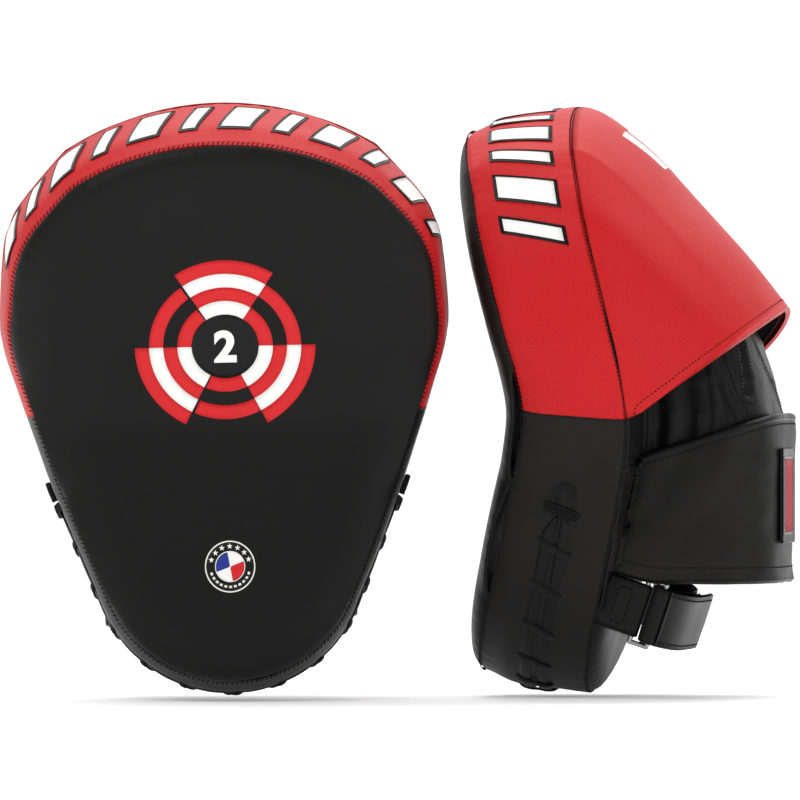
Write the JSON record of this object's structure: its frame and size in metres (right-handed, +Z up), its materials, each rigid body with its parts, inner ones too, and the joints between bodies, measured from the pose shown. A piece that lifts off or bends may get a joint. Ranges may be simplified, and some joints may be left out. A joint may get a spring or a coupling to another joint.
{
  "type": "boxing focus mitt pair",
  "caption": "Pair of curved padded focus mitts with ringed target, hooded half glove, wrist cuff, ring-and-tab strap and laced edge.",
  "frame": {"origin": "centre of the right mitt's grip, where the wearer's hand closes", "axes": "+X from the right mitt to the left mitt, +Y from the right mitt's strike face towards its glove, +Z up"},
  "size_m": [0.3597, 0.2405, 0.2669],
  "materials": {
    "black_pu": "satin, fine pebble grain",
    "red_pu": "satin, fine pebble grain",
    "soft_leather": "soft satin, wrinkled",
    "soft_foam": "open-cell foam",
    "dense_foam": "closed-cell foam",
    "thread": "twisted thread",
    "red_print": "screen print",
    "white_print": "screen print",
    "cord": "braided cord",
    "webbing": "woven webbing",
    "lining": "woven lining",
    "label_red": "moulded label",
    "ring_steel": "polished",
    "pile": "hook and loop pile"
  },
  "bodies": {
    "right_mitt": {"right_strike_cover": "black_pu", "right_face_foam": "soft_foam", "right_foam_core": "dense_foam", "right_red_band": "red_pu", "right_black_band": "black_pu", "right_back_cover": "black_pu", "right_seam_thread": "thread", "right_target_red": "red_print", "right_target_white": "white_print", "right_badge": "white_print", "right_band_print": "white_print", "right_lace_lips": "black_pu", "right_laces": "cord", "right_hood": "red_pu", "right_hood_lining": "lining", "right_finger_stalls": "soft_leather", "right_thumb_stall": "soft_leather", "right_hand_back": "soft_leather", "right_palm_ball": "soft_leather", "right_cuff": "black_pu", "right_cuff_binding": "black_pu", "right_cuff_label": "label_red", "right_strap_tab": "black_pu", "right_wrist_strap": "black_pu", "right_loop_patch": "pile"},
    "right_inner_loop": {"right_pull_loop_inner": "webbing"},
    "right_outer_loop": {"right_pull_loop_outer": "webbing"},
    "right_ring": {"right_strap_ring": "ring_steel"},
    "right_flap": {"right_strap_flap": "black_pu", "right_hook_patch": "pile"},
    "left_mitt": {"left_strike_cover": "black_pu", "left_face_foam": "soft_foam", "left_foam_core": "dense_foam", "left_red_band": "red_pu", "left_black_band": "black_pu", "left_back_cover": "black_pu", "left_seam_thread": "thread", "left_target_red": "red_print", "left_target_white": "white_print", "left_badge": "white_print", "left_band_print": "white_print", "left_lace_lips": "black_pu", "left_laces": "cord", "left_hood": "red_pu", "left_hood_lining": "lining", "left_finger_stalls": "soft_leather", "left_thumb_stall": "soft_leather", "left_hand_back": "soft_leather", "left_palm_ball": "soft_leather", "left_cuff": "black_pu", "left_cuff_binding": "black_pu", "left_cuff_label": "label_red", "left_strap_tab": "black_pu", "left_wrist_strap": "black_pu", "left_loop_patch": "pile"},
    "left_inner_loop": {"left_pull_loop_inner": "webbing"},
    "left_outer_loop": {"left_pull_loop_outer": "webbing"},
    "left_ring": {"left_strap_ring": "ring_steel"},
    "left_flap": {"left_strap_flap": "black_pu", "left_hook_patch": "pile"}
  },
  "joints": [
    {"name": "left_ring_swivel", "type": "hinge", "parent": "left_mitt", "child": "left_ring", "pos_m": [0.18553, -0.05325, -0.0731], "axis": [0.3134, -0.0496, 0.9483], "range_deg": [-7, 7]},
    {"name": "left_strap_peel", "type": "hinge", "parent": "left_mitt", "child": "left_flap", "pos_m": [0.19634, -0.05795, -0.07692], "axis": [-0.3134, 0.0496, -0.9483], "range_deg": [0, 110]},
    {"name": "left_inner_loop_flip", "type": "hinge", "parent": "left_mitt", "child": "left_inner_loop", "pos_m": [0.17634, 0.08009, -0.02118], "axis": [-0.9877, 0.1564, 0], "range_deg": [0, 75]},
    {"name": "left_outer_loop_flip", "type": "hinge", "parent": "left_mitt", "child": "left_outer_loop", "pos_m": [0.15183, -0.07469, -0.02118], "axis": [0.9877, -0.1564, 0], "range_deg": [0, 75]},
    {"name": "right_ring_swivel", "type": "hinge", "parent": "right_mitt", "child": "right_ring", "pos_m": [-0.05012, -0.01649, -0.06671], "axis": [-0.0253, 0.1646, 0.986], "range_deg": [-7, 7]},
    {"name": "right_strap_peel", "type": "hinge", "parent": "right_mitt", "child": "right_flap", "pos_m": [-0.05324, -0.00466, -0.06876], "axis": [-0.0253, 0.1646, 0.986], "range_deg": [0, 110]},
    {"name": "right_inner_loop_flip", "type": "hinge", "parent": "right_mitt", "child": "right_inner_loop", "pos_m": [-0.07696, -0.05464, -0.02072], "axis": [0.0208, -0.9875, -0.1564], "range_deg": [0, 75]},
    {"name": "right_outer_loop_flip", "type": "hinge", "parent": "right_mitt", "child": "right_outer_loop", "pos_m": [0.07968, -0.05191, -0.01717], "axis": [-0.0208, 0.9875, 0.1564], "range_deg": [0, 75]},
    {"name": "pair_gap", "type": "slide", "parent": "right_mitt", "child": "left_mitt", "axis": [1, 0, 0], "range_m": [0, 0.12]}
  ]
}
